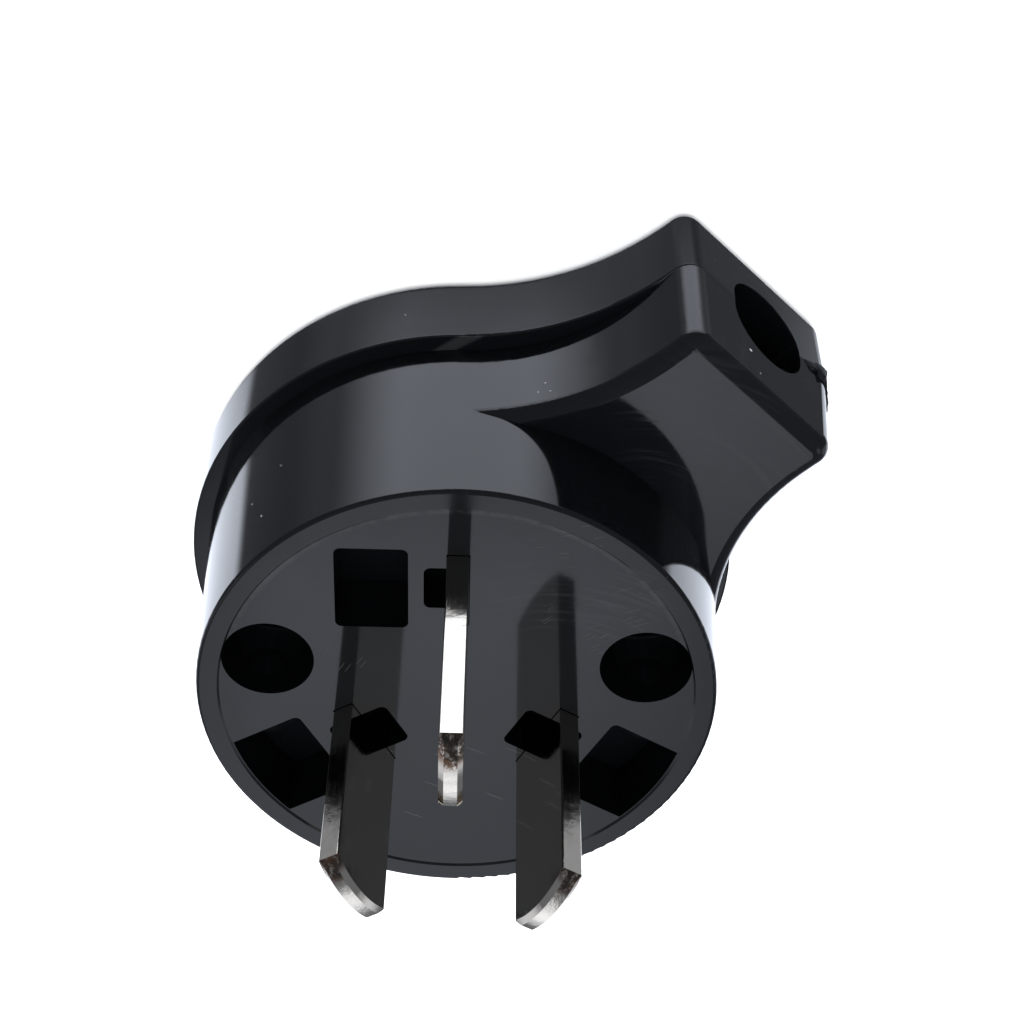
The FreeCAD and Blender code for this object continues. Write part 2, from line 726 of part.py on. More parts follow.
def blade(name, azimuth, place, toward, reach, foot_end, screw_place):
    """A strip bent to an L: the pin that stands in the face, and the foot under its seat.

    Places are measured along the azimuth in which the foot points, and the strip may stand
    moved toward +Y. The foot has the tapped hole of the terminal screw.
    """
    body = new_body(name)
    tip = f"({FACE} + {reach})"
    inner = f"({place} - blade_thickness / 2)"
    outer = f"({place} + blade_thickness / 2)"
    bend = "(bend_radius + blade_thickness)"
    side = upright_sketch(body, f"{name}_side", azimuth, toward)
    outline(side, [
        (f"{outer} + bend_radius", FOOT_LOW),
        (foot_end, FOOT_LOW),
        (foot_end, SEAT),
        (f"{outer} + bend_radius", SEAT, "bend_radius", RIGHT),
        (outer, f"{SEAT} + bend_radius"),
        (outer, tip),
        (inner, tip),
        (inner, f"{FOOT_LOW} + {bend}", bend, LEFT),
    ])
    pad(body, side, "blade_width", middle=True)

    half = "(blade_width / 2)"
    centre = f"(-{toward})"
    shoulder = f"({tip} - tip_radius + sqrt(tip_radius ^ 2 - {half} ^ 2))"
    crown = upright_sketch(body, f"{name}_tip", f"{azimuth} + 90")
    outline(crown, [
        (f"{centre} - {half}", shoulder, "tip_radius", RIGHT),
        (f"{centre} + {half}", shoulder),
        (f"{centre} + {half} + {MARGIN}", shoulder),
        (f"{centre} + {half} + {MARGIN}", f"{tip} + {MARGIN}"),
        (f"{centre} - {half} - {MARGIN}", f"{tip} + {MARGIN}"),
        (f"{centre} - {half} - {MARGIN}", shoulder),
    ])
    pocket(body, crown, THROUGH, middle=True)

    high = value(shoulder)
    round_edges(
        body,
        f"{name}_tip_edges",
        "tip_chamfer",
        lambda spots: all(spot.z > high or near(spot.z, high) for spot in spots),
        chamfer=True,
    )
    round_edges(body, f"{name}_edges", "blade_edge_round", is_long_upright)

    hole = flat_sketch(body, f"{name}_screw_hole", FOOT_LOW, azimuth)
    circle(hole, screw_place, centre, "terminal_shank_radius + thread_clearance")
    pocket(body, hole, "blade_thickness", reversed_way=True)
    return body


def is_long_upright(spots):
    start, middle, end = spots
    upright = near(start.x, end.x) and near(start.y, end.y)
    return upright and abs(end.z - start.z) > value("face_plate + seat_height")


# Fasteners

def turned(body, name, profile, across, up):
    """Turn a profile about an upright axis at a place in plan."""
    sketch = upright_sketch(body, name, "0", up)
    bind(sketch, "AttachmentOffset.Base.x", across)
    outline(sketch, profile)
    return revolve(body, sketch)


def screw(name, across, up, head_low, head_height, head_radius, shank_radius, shank_end, facing):
    """A pan head screw with a straight slot. The head faces down or up along Z."""
    body = new_body(name)
    crown = f"({head_radius} * {HEAD_CROWN})"
    tip = f"({shank_radius} * {SHANK_TIP})"
    top = f"({head_low} + {head_height})"
    if facing == "down":
        profile = [
            ("0", head_low),
            (f"{head_radius} - {crown}", head_low, crown, LEFT),
            (head_radius, f"{head_low} + {crown}"),
            (head_radius, top),
            (shank_radius, top),
            (shank_radius, f"{shank_end} - {tip}"),
            (f"{shank_radius} - {tip}", shank_end),
            ("0", shank_end),
        ]
        slot_low = head_low
    else:
        profile = [
            ("0", shank_end),
            (f"{shank_radius} - {tip}", shank_end),
            (shank_radius, f"{shank_end} + {tip}"),
            (shank_radius, head_low),
            (head_radius, head_low),
            (head_radius, f"{top} - {crown}", crown, LEFT),
            (f"{head_radius} - {crown}", top),
            ("0", top),
        ]
        slot_low = f"{top} - screw_slot_depth"
    turned(body, f"{name}_profile", profile, across, up)
    slot = flat_sketch(body, f"{name}_slot", slot_low)
    outline(slot, box_corners(
        f"{across} - {head_radius} - {MARGIN}",
        f"{across} + {head_radius} + {MARGIN}",
        f"{up} - screw_slot_width / 2",
        f"{up} + screw_slot_width / 2",
    ))
    pocket(body, slot, "screw_slot_depth", reversed_way=True)
    return body


def ring(name, across, up, low, height, outer, bore):
    body = new_body(name)
    sketch = flat_sketch(body, f"{name}_plan", low)
    circle(sketch, across, up, outer)
    circle(sketch, across, up, bore)
    pad(body, sketch, height)
    return body


def terminal(name, across, up):
    """A terminal screw with its spring washer and clamp washer, under the foot of a blade."""
    bore = "(terminal_shank_radius + washer_clearance)"
    clamp_low = f"({FOOT_LOW} - clamp_washer_height)"
    spring_low = f"({clamp_low} - spring_washer_height)"
    head_low = f"({spring_low} - terminal_head_height)"
    clamp = ring(
        f"{name}_clamp_washer", across, up, clamp_low, "clamp_washer_height",
        "clamp_washer_radius", bore,
    )
    spring = ring(
        f"{name}_spring_washer", across, up, spring_low, "spring_washer_height",
        "spring_washer_radius", bore,
    )
    gap = flat_sketch(spring, f"{name}_spring_gap", spring_low)
    outline(gap, box_corners(
        f"{across} - spring_washer_gap / 2",
        f"{across} + spring_washer_gap / 2",
        up,
        f"{up} + spring_washer_radius + {MARGIN}",
    ))
    pocket(spring, gap, "spring_washer_height", reversed_way=True)
    bolt = screw(
        f"{name}_terminal_screw", across, up, head_low, "terminal_head_height",
        "terminal_head_radius", "terminal_shank_radius", f"({SEAT} + terminal_shank_reach)",
        "down",
    )
    return [clamp, spring, bolt]


def cover_fastening(name, side):
    """The long screw at the bottom of a well, and the threaded insert that it pulls on."""
    across = f"({side} * {WELL_ACROSS})"
    bolt = screw(
        f"cover_screw_{name}", across, "well_place_up", WELL_FLOOR, "cover_head_height",
        "cover_head_radius", "cover_shank_radius", "cover_shank_end", "up",
    )
    insert = new_body(f"cover_insert_{name}")
    bore = "(cover_shank_radius + thread_clearance)"
    middle = "((insert_seat + cover_height) / 2)"
    waist = "(insert_radius - insert_groove)"
    turned(insert, f"insert_profile_{name}", [
        (bore, "insert_seat"),
        ("insert_radius", "insert_seat"),
        ("insert_radius", f"{middle} - insert_groove_half - insert_groove"),
        (waist, f"{middle} - insert_groove_half"),
        (waist, f"{middle} + insert_groove_half"),
        ("insert_radius", f"{middle} + insert_groove_half + insert_groove"),
        ("insert_radius", "cover_height"),
        (bore, "cover_height"),
    ], across, "well_place_up")
    return [bolt, insert]


def cord_clamp():
    body = new_body("cord_clamp")
    plan = flat_sketch(body, "clamp_plan", CLAMP_LOW, "neck_azimuth")
    outline(plan, box_corners(
        f"{CLAMP_PLACE} - clamp_half_width",
        f"{CLAMP_PLACE} + clamp_half_width",
        "-clamp_half_length",
        "clamp_half_length",
        "clamp_end_round",
    ))
    radius = "clamp_screw_radius + washer_clearance"
    for side in (LEFT, RIGHT):
        circle(plan, CLAMP_PLACE, f"{side} * clamp_screw_place", radius)
    pad(body, plan, "clamp_thickness")
    saddle = cross_sketch(body, "clamp_saddle", "neck_azimuth", CLAMP_PLACE)
    level = f"{PARTING} - clamp_saddle_depth + clamp_saddle_radius"
    circle(saddle, "-cord_aside", level, "clamp_saddle_radius")
    pocket(body, saddle, f"2 * (clamp_half_width + {MARGIN})", middle=True)
    return body


def clamp_screw(name, side):
    azimuth = "(neck_azimuth * 1 deg)"
    sideways = f"({side} * clamp_screw_place)"
    across = f"({CLAMP_PLACE} * cos{azimuth} - {sideways} * sin{azimuth})"
    up = f"({CLAMP_PLACE} * sin{azimuth} + {sideways} * cos{azimuth})"
    return screw(
        f"cord_clamp_screw_{name}", across, up, f"({CLAMP_LOW} - clamp_head_height)",
        "clamp_head_height", "clamp_head_radius", "clamp_screw_radius",
        f"({PARTING} + clamp_screw_reach)", "down",
    )


def slant_spot(azimuth, place):
    return f"({place} * cos({azimuth} * 1 deg))", f"({place} * sin({azimuth} * 1 deg))"


def all_pieces():
    pieces = [base_housing(), cover()]
    pieces.append(blade(
        "active_blade", ACTIVE_AZIMUTH, "slant_pin_place", "0",
        "active_reach", SLANT_FOOT_END, SLANT_SCREW,
    ))
    pieces.append(blade(
        "neutral_blade", NEUTRAL_AZIMUTH, "slant_pin_place", "0",
        "neutral_reach", SLANT_FOOT_END, SLANT_SCREW,
    ))
    pieces.append(blade(
        "earth_blade", EARTH_AZIMUTH, "0", "earth_pin_place",
        "earth_reach", EARTH_FOOT_END, EARTH_SCREW,
    ))
    pieces += terminal("active", *slant_spot(ACTIVE_AZIMUTH, SLANT_SCREW))
    pieces += terminal("neutral", *slant_spot(NEUTRAL_AZIMUTH, SLANT_SCREW))
    pieces += terminal("earth", f"(-{EARTH_SCREW})", "earth_pin_place")
    pieces += cover_fastening("left", LEFT)
    pieces += cover_fastening("right", RIGHT)
    pieces.append(cord_clamp())
    pieces.append(clamp_screw("left", RIGHT))
    pieces.append(clamp_screw("right", LEFT))
    return pieces


def check(pieces):
    """Stop if any object failed, or a piece isn't one valid solid."""
    for item in doc.Objects:
        faults = [state for state in item.State if state in ("Invalid", "Error")]
        if faults:
            raise ValueError(f"{item.Name}: {faults}")
    for piece in pieces:
        shape = piece.Shape
        if shape.isNull() or not shape.isValid() or len(shape.Solids) != 1:
            raise ValueError(f"{piece.Label}: {len(shape.Solids)} solids")


parts = all_pieces()
doc.recompute()
check(parts)
os.makedirs("parts", exist_ok=True)
for part in parts:
    part.Shape.exportStep(f"parts/{part.Label}.step")
    print(part.Label, round(part.Shape.Volume, 2), len(part.Shape.Faces))
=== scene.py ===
import math
import random

import bpy
from mathutils import Matrix, Vector


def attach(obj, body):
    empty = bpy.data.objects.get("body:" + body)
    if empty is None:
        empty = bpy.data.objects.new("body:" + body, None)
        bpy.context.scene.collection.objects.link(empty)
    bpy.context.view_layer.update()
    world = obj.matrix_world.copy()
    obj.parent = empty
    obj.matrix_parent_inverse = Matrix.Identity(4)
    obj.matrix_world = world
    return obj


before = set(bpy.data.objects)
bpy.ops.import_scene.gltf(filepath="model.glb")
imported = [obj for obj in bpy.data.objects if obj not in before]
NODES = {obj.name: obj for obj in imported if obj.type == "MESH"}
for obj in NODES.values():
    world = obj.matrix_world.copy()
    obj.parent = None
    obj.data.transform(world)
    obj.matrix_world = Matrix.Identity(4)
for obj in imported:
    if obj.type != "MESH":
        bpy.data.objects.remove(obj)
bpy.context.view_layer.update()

MM = 0.001

# The neck's direction, then in millimetres how far its end is from the pins' axis, the
# heights of the parting of the two shells and of the pin face, and the sunk disc's radius
NECK_AZIMUTH = math.radians(46.4)
NECK_END = 31.85
PARTING = 7.6
FACE = 24.0
DISC_RADIUS = 17.45


def direction(azimuth, elevation=0.0):
    """A unit vector from an azimuth and an elevation in degrees."""
    azimuth, elevation = math.radians(azimuth), math.radians(elevation)
    level = math.cos(elevation)
    return (math.cos(azimuth) * level, math.sin(azimuth) * level, math.sin(elevation))


def neck_place(along, across, height):
    """A place in metres, from millimetres along and across the neck."""
    cosine, sine = math.cos(NECK_AZIMUTH), math.sin(NECK_AZIMUTH)
    spot = Vector((along * cosine - across * sine, along * sine + across * cosine, height))
    return spot * MM


# Nodes of a material

def add(tree, kind, inputs=None, **settings):
    """Add a node. Inputs are values or the sockets of other nodes, by name or number."""
    made = tree.nodes.new(kind)
    for key, setting in settings.items():
        setattr(made, key, setting)
    for key, value in (inputs or {}).items():
        if isinstance(value, bpy.types.NodeSocket):
            tree.links.new(value, made.inputs[key])
        else:
            made.inputs[key].default_value = value
    return made


def maths(tree, operation, first, second=0.0):
    inputs = {0: first, 1: second}
    return add(tree, "ShaderNodeMath", inputs, operation=operation).outputs[0]


def product(tree, *factors):
    result = factors[0]
    for factor in factors[1:]:
        result = maths(tree, "MULTIPLY", result, factor)
    return result


def highest(tree, *values):
    result = values[0]
    for value in values[1:]:
        result = maths(tree, "MAXIMUM", result, value)
    return result


def ramp(tree, value, low, high, to_low=0.0, to_high=1.0):
    """Map a value from one range to another, with smooth ends."""
    inputs = {0: value, 1: low, 2: high, 3: to_low, 4: to_high}
    made = add(tree, "ShaderNodeMapRange", inputs, interpolation_type="SMOOTHSTEP")
    return made.outputs[0]


def fade(tree, value, full, fall):
    """One while the value is no further from nought than full, then falling softly."""
    off = maths(tree, "ABSOLUTE", value)
    return ramp(tree, off, full, full + fall, 1.0, 0.0)


def mix_values(tree, share, first, second):
    inputs = {0: share, 2: first, 3: second}
    return add(tree, "ShaderNodeMix", inputs, data_type="FLOAT").outputs[0]


def mix_colours(tree, share, first, second):
    inputs = {0: share, 6: first, 7: second}
    return add(tree, "ShaderNodeMix", inputs, data_type="RGBA").outputs[2]


def dot(tree, first, second):
    inputs = {0: first, 1: second}
    made = add(tree, "ShaderNodeVectorMath", inputs, operation="DOT_PRODUCT")
    return made.outputs["Value"]


def distance(tree, place, spot):
    """How far the place is from a spot, in metres."""
    inputs = {0: place, 1: tuple(spot)}
    made = add(tree, "ShaderNodeVectorMath", inputs, operation="DISTANCE")
    return made.outputs["Value"]


def noise(tree, place, scale, detail=2.0, roughness=0.5):
    inputs = {"Vector": place, "Scale": scale, "Detail": detail, "Roughness": roughness}
    return add(tree, "ShaderNodeTexNoise", inputs).outputs["Fac"]


def stretched(tree, place, factors):
    inputs = {0: place, 1: factors}
    return add(tree, "ShaderNodeVectorMath", inputs, operation="MULTIPLY").outputs[0]


def strokes(tree, along, across, spacing, run, width, share, seed):
    """Fine scratches that run along one coordinate, each with its own start and end.

    The spacing and the run are metres, the width is a share of the spacing, and only a
    share of the places for a scratch has one.
    """
    lane = maths(tree, "DIVIDE", across, spacing)
    step = maths(tree, "DIVIDE", along, run)
    cell = add(tree, "ShaderNodeCombineXYZ", {
        0: maths(tree, "FLOOR", lane),
        1: maths(tree, "FLOOR", step),
        2: seed,
    }).outputs[0]
    chance = add(tree, "ShaderNodeTexWhiteNoise", {"Vector": cell}, noise_dimensions="3D")
    split = add(tree, "ShaderNodeSeparateColor", {0: chance.outputs["Color"]})
    red, green, blue = split.outputs[:3]
    chosen = maths(tree, "LESS_THAN", red, share)
    middle = ramp(tree, blue, 0.0, 1.0, 0.3, 0.7)
    off = maths(tree, "ABSOLUTE", maths(tree, "SUBTRACT", maths(tree, "FRACT", lane), middle))
    line = ramp(tree, off, 0.0, width, 1.0, 0.0)
    part = maths(tree, "FRACT", step)
    start = maths(tree, "MULTIPLY", green, 0.6)
    begun = ramp(tree, maths(tree, "SUBTRACT", part, start), 0.0, 0.12)
    left = maths(tree, "SUBTRACT", maths(tree, "ADD", start, 0.4), part)
    return product(tree, line, chosen, begun, ramp(tree, left, 0.0, 0.12))


def height_of(tree, place):
    """The height of the place, in metres."""
    return add(tree, "ShaderNodeSeparateXYZ", {0: place}).outputs[2]


def straight_axes(tree, place, azimuth):
    """Coordinates along a level direction and square to it."""
    return dot(tree, place, direction(azimuth)), dot(tree, place, direction(azimuth + 90))


def hypotenuse(tree, first, second):
    """The root of the sum of the squares of two lengths."""
    squares = maths(tree, "ADD", product(tree, first, first), product(tree, second, second))
    return maths(tree, "SQRT", squares)


def arc_axes(tree, place, centre):
    """Coordinates round an upright axis and away from it."""
    inputs = {0: place, 1: tuple(centre)}
    off = add(tree, "ShaderNodeVectorMath", inputs, operation="SUBTRACT").outputs[0]
    x, y = add(tree, "ShaderNodeSeparateXYZ", {0: off}).outputs[:2]
    radius = hypotenuse(tree, x, y)
    return product(tree, maths(tree, "ARCTAN2", y, x), radius), radius


def near_spots(tree, place, spots):
    """One inside each spot, which is a place and a radius in millimetres."""
    masks = []
    for spot, radius in spots:
        far = distance(tree, place, Vector(spot) * MM)
        masks.append(ramp(tree, far, radius * MM * 0.6, radius * MM, 1.0, 0.0))
    return highest(tree, *masks)


def region(tree, place, spot, radius):
    """A soft patch round a place: one in its middle, falling to nothing at the radius."""
    far = distance(tree, place, Vector(spot) * MM)
    return ramp(tree, far, radius * MM * 0.5, radius * MM, 1.0, 0.0)


def new_material(name):
    material = bpy.data.materials.new(name)
    material.use_nodes = True
    tree = material.node_tree
    tree.nodes.clear()
    shader = add(tree, "ShaderNodeBsdfPrincipled")
    add(tree, "ShaderNodeOutputMaterial", {"Surface": shader.outputs[0]})
    place = add(tree, "ShaderNodeTexCoord").outputs["Object"]
    return material, tree, shader, place


def set_inputs(tree, shader, inputs):
    for key, value in inputs.items():
        if isinstance(value, bpy.types.NodeSocket):
            tree.links.new(value, shader.inputs[key])
        else:
            shader.inputs[key].default_value = value


def bump(tree, height, reach, below=None):
    inputs = {"Height": height, "Distance": reach, "Strength": 1.0}
    if below is not None:
        inputs["Normal"] = below
    return add(tree, "ShaderNodeBump", inputs).outputs["Normal"]


# Black plastic

GLOSS = (0.055, 0.10)
SMEAR = 0.035
LINE_ROUGHNESS = 0.3
CHIP_ROUGHNESS = 0.45
DUST_ROUGHNESS = 0.9
BLACK = (0.0018, 0.0021, 0.0026, 1.0)
DUST = (0.38, 0.39, 0.40, 1.0)
# Pale grey for scratches, scuffs and wear, and for the painted highlight on the sunk disc's edge
SCUFF_AND_HIGHLIGHT = (0.030, 0.031, 0.033, 1.0)


# Scratches on the pin face: the middle and the radius of the patch and the azimuth, then
# the scratches' spacing and length, all in millimetres and degrees, their share and a seed
SCRATCHES = [
    ((5.3, 8.2, FACE), 2.4, 38, 0.30, 3.0, 0.45, 3.0),
    ((11.9, 8.8, FACE), 4.2, 22, 0.34, 4.6, 0.40, 5.0),
    ((11.0, 6.9, FACE), 3.2, 33, 0.40, 2.6, 0.35, 7.0),
    ((-8.2, 1.8, FACE), 4.0, 58, 0.36, 3.0, 0.25, 9.0),
    ((7.8, 15.2, FACE), 3.4, 10, 0.40, 2.2, 0.30, 11.0),
    ((0.0, -8.0, FACE), 9.0, -25, 0.60, 5.0, 0.10, 17.0),
]
SCRATCH_WIDTH = 0.085
SCRATCH_BEND = 0.4


def face_scratches(tree, place):
    """Scratches fanning over the pin face beside the wells, left by a socket's front."""
    bend = maths(tree, "MULTIPLY", noise(tree, place, 260.0, 1.0), SCRATCH_BEND * MM)
    masks = []
    for spot, radius, azimuth, spacing, run, share, seed in SCRATCHES:
        along, across = straight_axes(tree, place, azimuth)
        across = maths(tree, "ADD", across, bend)
        lines = strokes(
            tree, along, across, spacing * MM, run * MM, SCRATCH_WIDTH, share, seed
        )
        masks.append(product(tree, region(tree, place, spot, radius), lines))
    return highest(tree, *masks)


def axis_distance(tree, place):
    """How far the place is from the axis of the pins, in metres."""
    level = stretched(tree, place, (1.0, 1.0, 0.0))
    made = add(tree, "ShaderNodeVectorMath", {0: level}, operation="LENGTH")
    return made.outputs["Value"]


def on_face(tree, place):
    """One on the pin face and the floor of its sunk disc, nought below them."""
    height = height_of(tree, place)
    return ramp(tree, height, (FACE - 0.25) * MM, (FACE - 0.15) * MM)


def disc_edge_highlight(tree, place):
    """A painted highlight along the edge of the sunk disc on the pin face, broken in patches and
    stronger towards the earth pin.
    """
    off = maths(tree, "SUBTRACT", axis_distance(tree, place), DISC_RADIUS * MM)
    edge = fade(tree, off, 0.12 * MM, 0.22 * MM)
    ahead = add(tree, "ShaderNodeSeparateXYZ", {0: place}).outputs[1]
    # The painted highlight grows stronger towards +y, the side that faces the light
    lit_side_share = ramp(tree, ahead, 0.0, 11.0 * MM, 0.15, 1.0)
    patchy = ramp(tree, noise(tree, place, 900.0, 3.0, 0.6), 0.30, 0.62)
    return product(tree, edge, patchy, lit_side_share, on_face(tree, place), 0.22)


def swept_streaks(tree, place, centre, scale, low, high):
    """Soft streaks that follow circles round an upright axis."""
    along, away = arc_axes(tree, place, Vector(centre) * MM)
    swept = add(tree, "ShaderNodeCombineXYZ", {
        0: maths(tree, "MULTIPLY", along, 0.07),
        1: away,
        2: 0.02,
    }).outputs[0]
    return ramp(tree, noise(tree, swept, scale, 3.0, 0.6), low, high)


def wiped_arcs(tree, place):
    """Faint arcs left by wiping on the neck's underside."""
    streaks = swept_streaks(tree, place, (13.0, 9.0, 0.0), 1500.0, 0.48, 0.75)
    return product(tree, region(tree, place, (18.5, 19.5, 16.0), 9.0), streaks)


def face_haze(tree, place):
    """Fine haze rubbed into the pin face beside the earth pin."""
    streaks = swept_streaks(tree, place, (7.0, -2.0, 0.0), 2600.0, 0.46, 0.72)
    patches = highest(
        tree,
        region(tree, place, (5.4, 9.8, FACE), 4.0),
        region(tree, place, (11.8, 9.2, FACE), 4.5),
    )
    return product(tree, patches, streaks)


# The cord hole's middle, across the neck and up, and the radius of its bright edge
HOLE_ACROSS = -0.45
HOLE_HEIGHT = PARTING - 0.6
HOLE_EDGE = 3.69


def hole_edge(tree, place):
    """The bright trimmed edge of the cord hole, on the cover's half."""
    ahead, beside = straight_axes(tree, place, math.degrees(NECK_AZIMUTH))
    height = height_of(tree, place)
    across = maths(tree, "SUBTRACT", beside, HOLE_ACROSS * MM)
    up = maths(tree, "SUBTRACT", height, HOLE_HEIGHT * MM)
    radius = hypotenuse(tree, across, up)
    off = maths(tree, "SUBTRACT", radius, HOLE_EDGE * MM)
    line = fade(tree, off, 0.02 * MM, 0.06 * MM)
    on_end = ramp(tree, ahead, (NECK_END - 0.12) * MM, (NECK_END - 0.06) * MM)
    broken = ramp(tree, noise(tree, place, 1300.0, 2.0), 0.32, 0.5)
    return product(tree, line, on_end, broken, 0.35)


# Dust specks: each one's place and radius
HOUSING_DUST = [
    ((6.24, 20.93, 13.8), 0.12), ((5.92, 20.76, 12.7), 0.10), ((7.04, 21.15, 15.0), 0.09),
    ((6.6, 21.0, 14.6), 0.08), ((5.4, 20.6, 13.6), 0.08), ((20.53, 24.09, 12.7), 0.16),
    ((24.21, 20.65, 13.4), 0.09), ((21.15, 23.39, 14.6), 0.08), ((17.17, 27.12, 12.6), 0.07),
    ((-16.43, 10.95, 14.8), 0.11), ((-14.28, 13.22, 19.5), 0.10), ((-17.28, 9.77, 12.6), 0.10),
    ((-15.3, 12.4, 17.0), 0.13), ((-14.9, 12.9, 17.2), 0.08), ((-13.2, 14.6, 15.2), 0.08),
    ((-16.9, 9.6, 17.6), 0.08), ((-12.1, 15.4, 20.1), 0.07),
    ((6.75, 15.62, FACE), 0.10), ((8.38, 15.23, FACE), 0.09), ((10.47, 13.95, FACE), 0.12),
    ((9.75, 14.29, FACE), 0.08), ((-7.2, 12.4, FACE), 0.07), ((2.4, -9.6, FACE), 0.07),
]
COVER_DUST = [
    ((18.2, 26.52, 4.55), 0.11), ((16.4, 25.4, 5.6), 0.08), ((-4.6, 20.9, 4.2), 0.09),
    ((3.2, 21.3, 2.9), 0.08), ((-19.6, 8.4, 5.2), 0.09), ((-17.0, 13.0, 5.0), 0.10),
    ((-18.1, 11.4, 6.1), 0.07),
]
# Where the face's edge has been knocked, and each chip's radius
EDGE_CHIPS = [
    ((17.75, 7.45, FACE), 0.30), ((-15.9, 10.9, FACE), 0.22), ((9.6, -16.7, FACE), 0.22),
    ((14.9, 12.1, FACE), 0.18),
]


def black_plastic(name, dust_spots, marks, chips=None):
    """Glossy moulded plastic with slight waves, handling marks and a little dust.

    The marks give three masks: cut lines, pale wear with some painted highlight, and what is
    added to the roughness.
    """
    material, tree, shader, place = new_material(name)
    waves = noise(tree, place, 140.0, 1.0)
    grain = noise(tree, place, 2600.0, 3.0)
    haze = noise(tree, place, 95.0, 4.0, 0.6)
    smears = noise(tree, stretched(tree, place, (1.0, 1.0, 0.35)), 240.0, 3.0, 0.6)
    rough = ramp(tree, haze, 0.35, 0.7, *GLOSS)
    rough = maths(tree, "ADD", rough, ramp(tree, smears, 0.52, 0.75, 0.0, SMEAR))
    dust = near_spots(tree, place, dust_spots)
    normal = bump(tree, waves, 0.000010)
    normal = bump(tree, grain, 0.0000006, normal)
    lines, wear_and_highlight, duller = marks(tree, place)
    # Scratches, wear and the painted highlight on the sunk disc's edge turn the black pale grey
    colour = mix_colours(tree, highest(tree, lines, wear_and_highlight), BLACK, SCUFF_AND_HIGHLIGHT)
    rough = maths(tree, "ADD", rough, duller)
    rough = mix_values(tree, lines, rough, LINE_ROUGHNESS)
    normal = bump(tree, lines, -0.0000010, normal)
    if chips is not None:
        broken = near_spots(tree, place, chips)
        ragged = product(tree, broken, ramp(tree, noise(tree, place, 5200.0, 2.0), 0.42, 0.56))
        rough = mix_values(tree, ragged, rough, CHIP_ROUGHNESS)
        normal = bump(tree, ragged, -0.00006, normal)
    rough = mix_values(tree, dust, rough, DUST_ROUGHNESS)
    normal = bump(tree, dust, 0.00003, normal)
    set_inputs(tree, shader, {
        "Base Color": mix_colours(tree, dust, colour, DUST),
        "Roughness": rough,
        "Normal": normal,
        "IOR": 1.5,
    })
    return material


def housing_marks(tree, place):
    arcs = wiped_arcs(tree, place)
    # Pale wear from wiped arcs and haze, and a painted highlight along the sunk disc's edge
    wear_and_highlight = highest(
        tree,
        maths(tree, "MULTIPLY", arcs, 0.17),
        maths(tree, "MULTIPLY", face_haze(tree, place), 0.16),
        disc_edge_highlight(tree, place),
    )
    ring = ramp(tree, axis_distance(tree, place), 17.7 * MM, 17.8 * MM)
    ring = product(tree, ring, on_face(tree, place), 0.10)
    duller = maths(tree, "ADD", maths(tree, "MULTIPLY", arcs, 0.12), ring)
    return face_scratches(tree, place), wear_and_highlight, duller


def cover_marks(tree, place):
    """A few faint lines round the rim, and the trimmed edge of the cord hole."""
    along = arc_axes(tree, place, (0.0, 0.0, 0.0))[0]
    height = height_of(tree, place)
    lines = strokes(tree, along, height, 0.0009, 0.006, 0.05, 0.12, 21.0)
    sheen = product(tree, ramp(tree, noise(tree, place, 320.0, 3.0), 0.5, 0.75), 0.03)
    return maths(tree, "MULTIPLY", lines, 0.5), hole_edge(tree, place), sheen


# Metal

NICKEL = (0.80, 0.74, 0.655, 1.0)
WORN_BRASS = (0.30, 0.17, 0.11, 1.0)
GRIME = (0.10, 0.085, 0.07, 1.0)


def nickel(name, edge_azimuth, rubbed):
    """Nickel on a stamped strip: polished wide faces, sheared edges, a rubbed tip.

    The azimuth is that of a sheared edge, and the tip is rubbed on that side. The wear
    sets in between the two numbers in rubbed, as the surface leans towards that edge.
    """
    material, tree, shader, place = new_material(name)
    facing = add(tree, "ShaderNodeNewGeometry").outputs["Normal"]
    across = dot(tree, facing, direction(edge_azimuth - 90))
    on_edge = ramp(tree, maths(tree, "ABSOLUTE", across), 0.3, 0.7, 1.0, 0.0)
    up = add(tree, "ShaderNodeSeparateXYZ", {0: facing}).outputs[2]
    on_tip = ramp(tree, up, 0.15, 0.4)

    # Lines drawn by the strip's rolling and the die, along the pin
    drawn = noise(tree, stretched(tree, place, (1.0, 1.0, 0.05)), 3600.0, 2.0)
    torn = noise(tree, stretched(tree, place, (1.0, 1.0, 0.5)), 2600.0, 4.0, 0.7)
    patch = noise(tree, place, 420.0, 2.0)

    # The sheared edge is torn all over, and more so in patches
    tear = product(tree, on_edge, ramp(tree, patch, 0.35, 0.65, 0.35, 1.0))
    # The tip's shoulders are rubbed down to brass, and grimy
    shoulder = ramp(tree, dot(tree, facing, direction(edge_azimuth)), rubbed[0], rubbed[1])
    worn = product(tree, on_tip, shoulder, ramp(tree, torn, 0.34, 0.52))
    grime = product(tree, worn, ramp(tree, patch, 0.42, 0.60))

    rough = ramp(tree, drawn, 0.3, 0.7, 0.07, 0.13)
    rough = maths(tree, "ADD", rough, maths(tree, "MULTIPLY", tear, 0.04))
    rough = mix_values(tree, on_tip, rough, 0.05)
    rough = mix_values(tree, worn, rough, 0.38)
    normal = bump(tree, drawn, 0.0000009)
    normal = bump(tree, product(tree, tear, torn), 0.00003, normal)
    normal = bump(tree, product(tree, on_tip, torn), 0.000006, normal)
    colour = mix_colours(tree, worn, NICKEL, WORN_BRASS)
    set_inputs(tree, shader, {
        "Base Color": mix_colours(tree, grime, colour, GRIME),
        "Metallic": 1.0,
        "Roughness": rough,
        "Normal": normal,
    })
    return material


